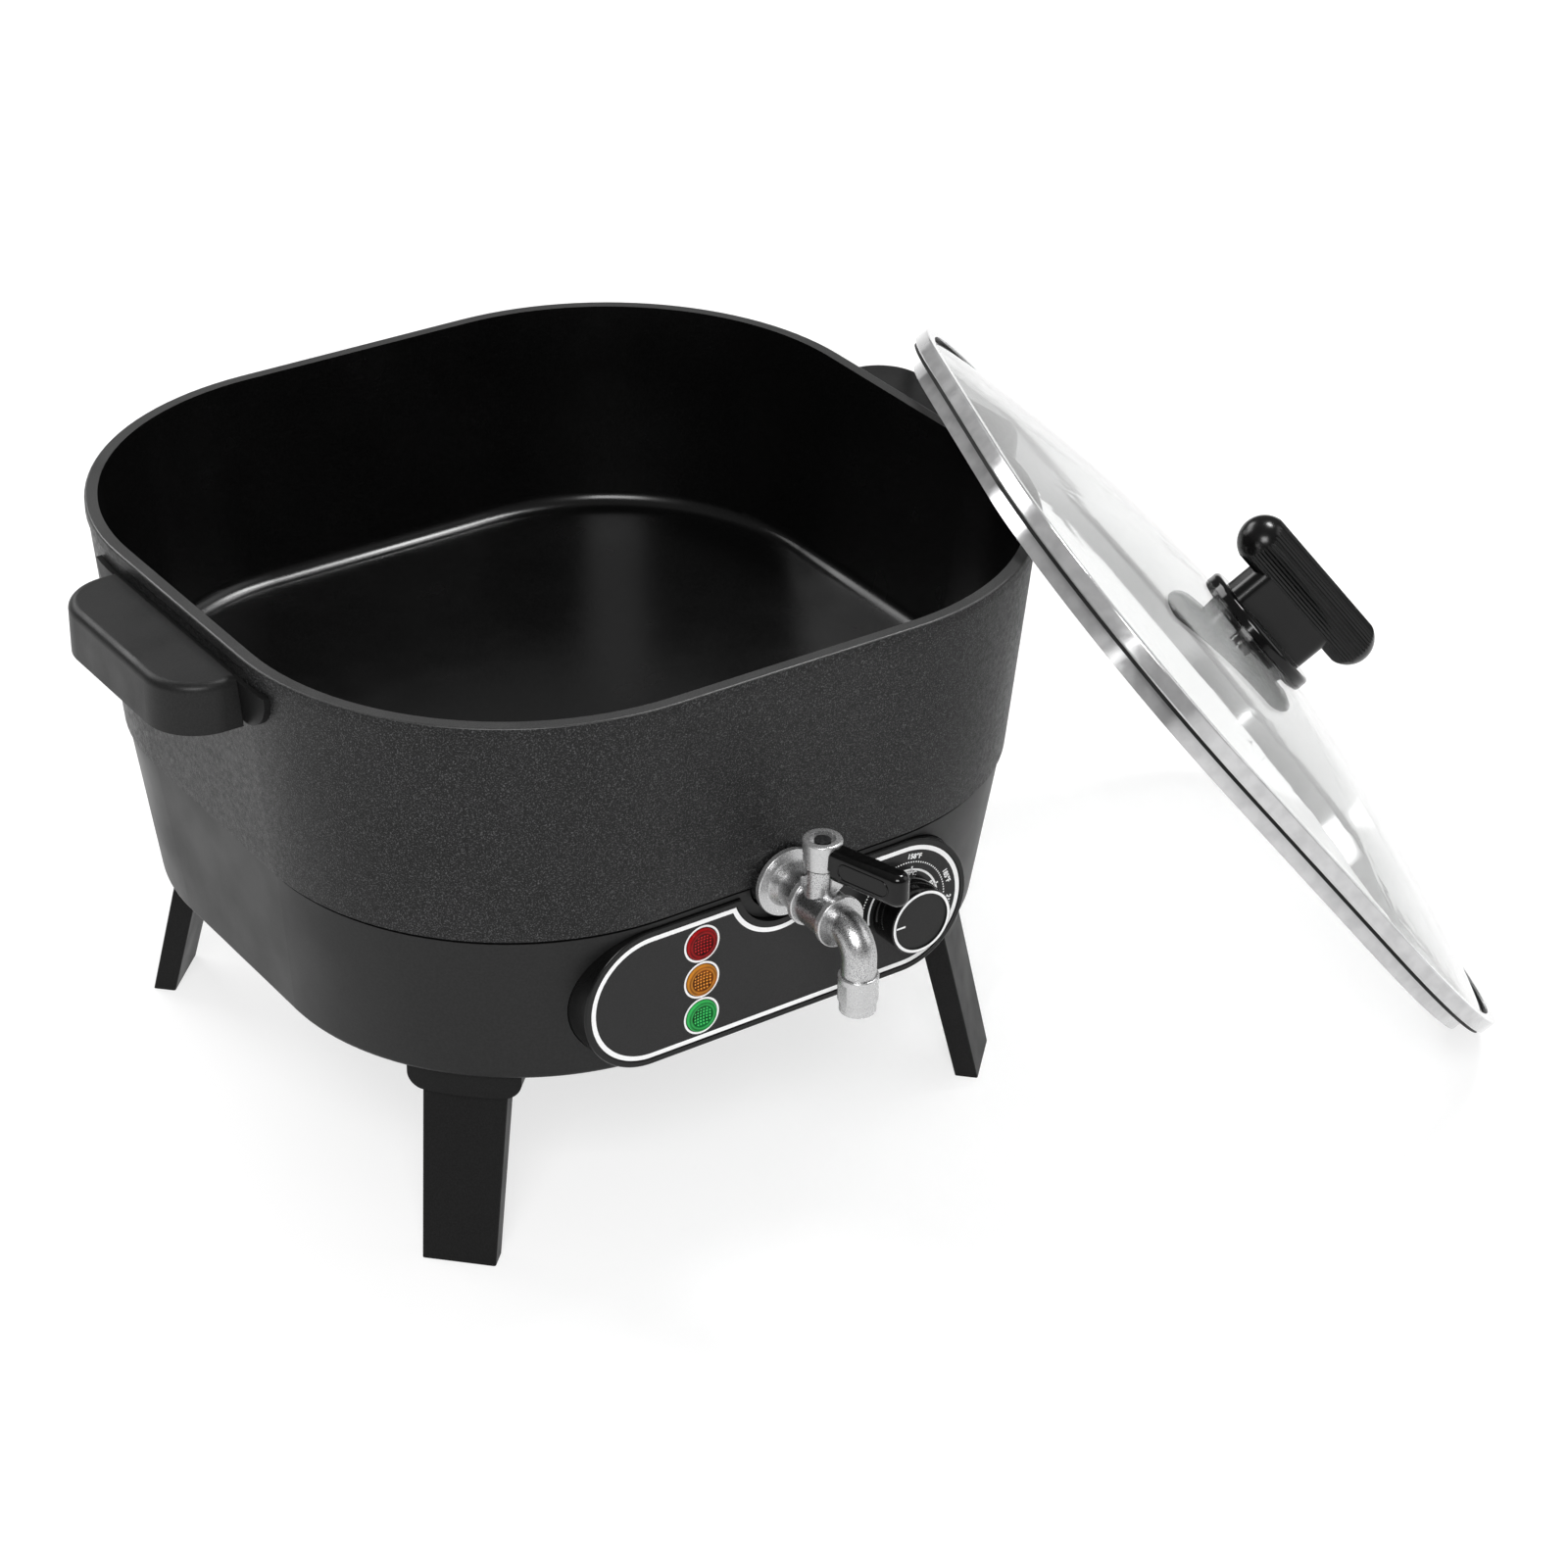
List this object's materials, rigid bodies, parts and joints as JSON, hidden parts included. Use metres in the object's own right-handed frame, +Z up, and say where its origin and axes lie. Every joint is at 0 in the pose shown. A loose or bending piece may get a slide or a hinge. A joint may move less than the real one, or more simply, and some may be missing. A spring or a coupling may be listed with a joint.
{
  "type": "wax warmer pot",
  "caption": "Square electric wax-melting pot on splayed legs, with side grips, draw-off tap, control panel and a domed glass lid leaning against its side.",
  "frame": {"origin": "on the table, below the pot's own centre", "axes": "+Z up, front with tap and panel towards -Y, +X to the right seen from the front, where the lid leans"},
  "size_m": [0.5193, 0.3895, 0.2378],
  "materials": {
    "pot_coating": "cast, speckled charcoal coating outside, black non-stick inside",
    "base_paint": "satin dark grey paint",
    "black_rubber": "matt black",
    "plate_steel": "black painted sheet",
    "black_plastic": "satin black moulding",
    "panel_face": "gloss dark grey with white print",
    "lens_red": "clear red lens",
    "lens_amber": "clear amber lens",
    "lens_green": "clear green lens",
    "inner_plastic": "pale heat-proof moulding",
    "gloss_black": "gloss black",
    "tap_chrome": "satin cast chrome",
    "tap_brass": "turned",
    "fastener_steel": "zinc plated",
    "inner_steel": "plain",
    "wire_cover": "pale sleeve",
    "lid_steel": "polished",
    "clear_glass": "clear"
  },
  "bodies": {
    "chassis": {"pot_vessel": "pot_coating", "base_shell": "base_paint", "seam_gasket": "black_rubber", "tap_gasket": "black_rubber", "cord_grommet": "black_rubber", "bottom_plate": "plate_steel", "handle_bracket_left": "plate_steel", "handle_bracket_right": "plate_steel", "leg_front_left": "black_plastic", "leg_front_right": "black_plastic", "leg_rear_left": "black_plastic", "leg_rear_right": "black_plastic", "handle_left": "black_plastic", "handle_right": "black_plastic", "control_bezel": "black_plastic", "control_faceplate": "panel_face", "lamp_lens_red": "lens_red", "lamp_lens_amber": "lens_amber", "lamp_lens_green": "lens_green", "lamp_bodies": "inner_plastic", "thermostat_body": "inner_plastic", "terminal_block": "inner_plastic", "tap_body": "tap_chrome", "tap_spout": "tap_chrome", "tap_nozzle": "tap_chrome", "pot_screws": "fastener_steel", "bottom_screws": "fastener_steel", "leg_screws": "fastener_steel", "handle_screws": "fastener_steel", "handle_rivets": "fastener_steel", "stud_nuts": "fastener_steel", "heating_element": "inner_steel", "element_plate": "inner_steel", "sensor_clip": "inner_steel", "thermostat_bulb": "inner_steel", "thermal_cutout": "inner_steel", "wiring": "wire_cover"},
    "tap_valve": {"tap_plug": "tap_brass", "tap_hub": "tap_chrome", "tap_lever": "gloss_black", "tap_hub_screw": "fastener_steel"},
    "dial": {"dial_knob": "gloss_black", "thermostat_shaft": "inner_steel"},
    "lid": {"lid_seal": "black_rubber", "lid_glass_gasket": "black_rubber", "lid_knob": "black_plastic", "lid_knob_seat": "black_plastic", "lid_knob_washer": "black_plastic", "lid_knob_screw": "fastener_steel", "lid_rim": "lid_steel", "lid_glass": "clear_glass"}
  },
  "joints": [
    {"name": "valve_turn", "type": "hinge", "parent": "chassis", "child": "tap_valve", "pos_m": [0, -0.1615, 0.15], "axis": [0, 0, -1], "range_deg": [0, 90]},
    {"name": "dial_turn", "type": "hinge", "parent": "chassis", "child": "dial", "pos_m": [0.0515, -0.138, 0.1025], "axis": [0, 1, 0], "range_deg": [0, 215]},
    {"name": "lid_lift", "type": "slide", "parent": "chassis", "child": "lid", "axis": [0, 0, 1], "range_m": [0, 0.3]}
  ]
}
